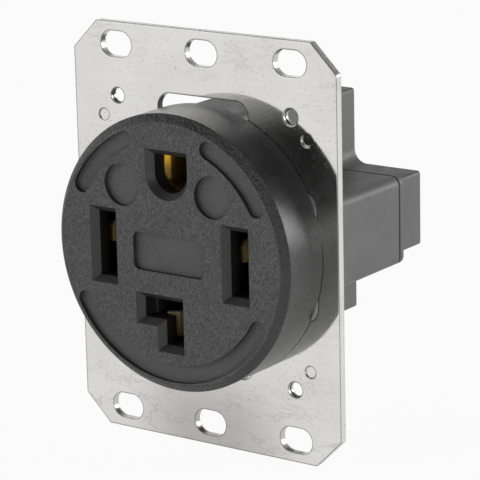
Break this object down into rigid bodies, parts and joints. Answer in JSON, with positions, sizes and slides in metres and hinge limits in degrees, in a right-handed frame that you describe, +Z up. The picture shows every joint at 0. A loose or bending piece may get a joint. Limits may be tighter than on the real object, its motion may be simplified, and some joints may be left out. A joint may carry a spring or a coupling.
{
  "type": "four prong dryer outlet",
  "caption": "Flush four-wire dryer outlet: round dark moulded face with funnel blade slots on a plated steel strap, plus-shaped body behind with pressure wire terminals.",
  "frame": {"origin": "centre of the steel strap's rear side, which seats on the wall box", "axes": "+X to the right seen from the front, +Y to the rear into the wall, +Z up; the face looks towards -Y"},
  "size_m": [0.0696, 0.0631, 0.0932],
  "materials": {
    "face_plastic": "fine moulded grain, semi-matte charcoal",
    "body_plastic": "smooth matte grey",
    "plated_steel": "bright plating with faint scratches",
    "contact_brass": "rolled brass strip",
    "spring_steel": "satin",
    "screw_steel": "zinc plated",
    "terminal_brass": "machined brass",
    "terminal_silver": "nickel plated",
    "terminal_green": "green tinted plating"
  },
  "bodies": {
    "root": {"face": "face_plastic", "mounting_strap": "plated_steel", "body_housing": "body_plastic", "rear_cover": "body_plastic", "hot_contact_left": "contact_brass", "hot_contact_right": "contact_brass", "neutral_contact": "contact_brass", "ground_contact": "contact_brass", "hot_spring_left": "spring_steel", "hot_spring_right": "spring_steel", "neutral_spring": "spring_steel", "ground_spring": "spring_steel", "hot_clamp_left": "screw_steel", "hot_clamp_right": "screw_steel", "neutral_clamp": "screw_steel", "ground_clamp": "screw_steel", "hot_terminal_screws": "terminal_brass", "neutral_terminal_screw": "terminal_silver", "ground_terminal_screw": "terminal_green", "strap_screws": "screw_steel", "assembly_screw": "screw_steel", "ground_jumper": "contact_brass"}
  },
  "joints": []
}
